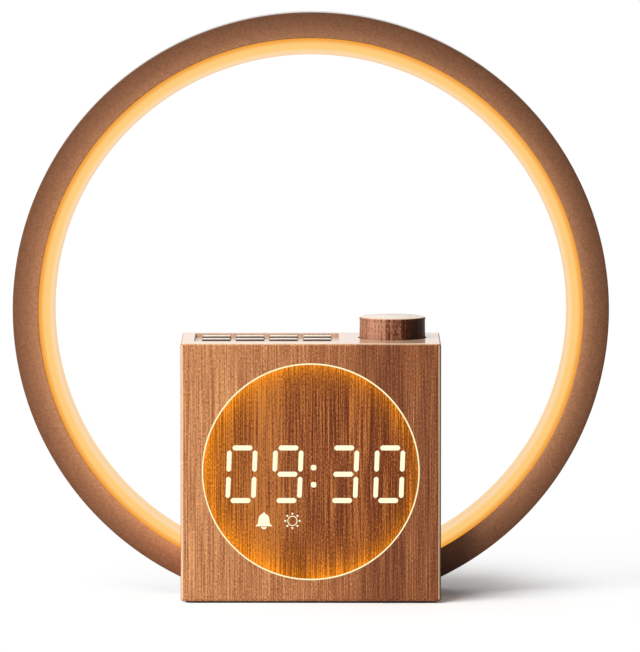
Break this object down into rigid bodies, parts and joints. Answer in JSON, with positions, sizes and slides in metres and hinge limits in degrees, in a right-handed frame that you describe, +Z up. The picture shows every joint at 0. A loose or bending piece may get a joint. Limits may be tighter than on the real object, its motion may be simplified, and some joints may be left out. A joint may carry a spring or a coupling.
{
  "type": "sunrise alarm clock",
  "caption": "Wood-faced alarm clock with a lit digital display, top keys, a push-and-turn knob and a large open ring lamp whose ends plug into the case.",
  "frame": {"origin": "underside of the mat, under the middle of the clock", "axes": "+Z up, +X to the right seen from the front, +Y to the back; the display looks along -Y"},
  "size_m": [0.2304, 0.05, 0.226],
  "materials": {
    "case_wood": "satin veneer, fine upright grain",
    "disc_wood": "satin veneer, lit amber at its edge",
    "knob_wood": "satin, upright grain",
    "cover_plastic": "fine texture",
    "mat_rubber": "matt",
    "plain_steel": "plain",
    "screw_steel": "plain",
    "switch_can": "plain",
    "inlet_steel": "plain",
    "halo_light": "milky, lit",
    "digit_light": "milky, lit",
    "ring_light": "milky, lit",
    "white_plastic": "plain",
    "black_plastic": "plain",
    "board_green": "solder mask",
    "led_package": "plain",
    "tray_gloss": "polished",
    "key_cream": "polished",
    "nut_brass": "plain",
    "shaft_aluminium": "plain",
    "inlay_pale": "satin",
    "cone_paper": "plain",
    "magnet_iron": "plain",
    "ribbon_grey": "plain",
    "lead_red": "plain",
    "ring_brown": "fine speckled paint"
  },
  "bodies": {
    "housing": {"case": "case_wood", "rear_cover": "cover_plastic", "base_mat": "mat_rubber", "ballast_plate": "plain_steel", "cover_screws": "screw_steel", "face_disc": "disc_wood", "halo_ring": "halo_light", "lit_segments": "digit_light", "unlit_segments": "disc_wood", "display_block": "white_plastic", "display_board": "board_green", "display_leds": "led_package", "display_header": "black_plastic", "display_screws": "screw_steel", "key_plate": "tray_gloss", "key_switches": "switch_can", "top_board": "board_green", "top_screws": "screw_steel", "encoder_body": "switch_can", "encoder_nut": "nut_brass", "main_board": "board_green", "main_chips": "black_plastic", "main_screws": "screw_steel", "usb_inlet": "inlet_steel", "backup_cell": "plain_steel", "cell_holder": "black_plastic", "speaker_basket": "black_plastic", "speaker_cone": "cone_paper", "speaker_magnet": "magnet_iron", "speaker_gasket": "mat_rubber", "board_ribbon": "ribbon_grey", "ribbon_sockets": "white_plastic", "ring_lead": "lead_red", "ring_front_shell": "ring_brown", "ring_rear_shell": "ring_brown", "ring_diffuser": "ring_light", "ring_led_strip": "white_plastic", "ring_leds": "led_package", "ring_clamps": "plain_steel", "clamp_screws": "screw_steel"},
    "key_1_cap": {"key_1": "key_cream", "key_plunger_1": "black_plastic"},
    "key_2_cap": {"key_2": "key_cream", "key_plunger_2": "black_plastic"},
    "key_3_cap": {"key_3": "key_cream", "key_plunger_3": "black_plastic"},
    "key_4_cap": {"key_4": "key_cream", "key_plunger_4": "black_plastic"},
    "key_5_cap": {"key_5": "key_cream", "key_plunger_5": "black_plastic"},
    "key_6_cap": {"key_6": "key_cream", "key_plunger_6": "black_plastic"},
    "key_7_cap": {"key_7": "key_cream", "key_plunger_7": "black_plastic"},
    "key_8_cap": {"key_8": "key_cream", "key_plunger_8": "black_plastic"},
    "knob_stem": {"encoder_plunger": "black_plastic"},
    "knob_head": {"encoder_shaft": "shaft_aluminium", "knob": "knob_wood", "knob_inlay": "inlay_pale"}
  },
  "joints": [
    {"name": "key_1_press", "type": "slide", "parent": "housing", "child": "key_1_cap", "axis": [0, 0, -1], "range_m": [0, 0.0006], "stiffness_N_per_m": 1500},
    {"name": "key_2_press", "type": "slide", "parent": "housing", "child": "key_2_cap", "axis": [0, 0, -1], "range_m": [0, 0.0006], "stiffness_N_per_m": 1500},
    {"name": "key_3_press", "type": "slide", "parent": "housing", "child": "key_3_cap", "axis": [0, 0, -1], "range_m": [0, 0.0006], "stiffness_N_per_m": 1500},
    {"name": "key_4_press", "type": "slide", "parent": "housing", "child": "key_4_cap", "axis": [0, 0, -1], "range_m": [0, 0.0006], "stiffness_N_per_m": 1500},
    {"name": "key_5_press", "type": "slide", "parent": "housing", "child": "key_5_cap", "axis": [0, 0, -1], "range_m": [0, 0.0006], "stiffness_N_per_m": 1500},
    {"name": "key_6_press", "type": "slide", "parent": "housing", "child": "key_6_cap", "axis": [0, 0, -1], "range_m": [0, 0.0006], "stiffness_N_per_m": 1500},
    {"name": "key_7_press", "type": "slide", "parent": "housing", "child": "key_7_cap", "axis": [0, 0, -1], "range_m": [0, 0.0006], "stiffness_N_per_m": 1500},
    {"name": "key_8_press", "type": "slide", "parent": "housing", "child": "key_8_cap", "axis": [0, 0, -1], "range_m": [0, 0.0006], "stiffness_N_per_m": 1500},
    {"name": "knob_press", "type": "slide", "parent": "housing", "child": "knob_stem", "axis": [0, 0, -1], "range_m": [0, 0.0005], "stiffness_N_per_m": 4000},
    {"name": "knob_turn", "type": "hinge", "parent": "knob_stem", "child": "knob_head", "pos_m": [0.0315, 0.0025, 0.1], "axis": [0, 0, 1], "continuous": true}
  ]
}
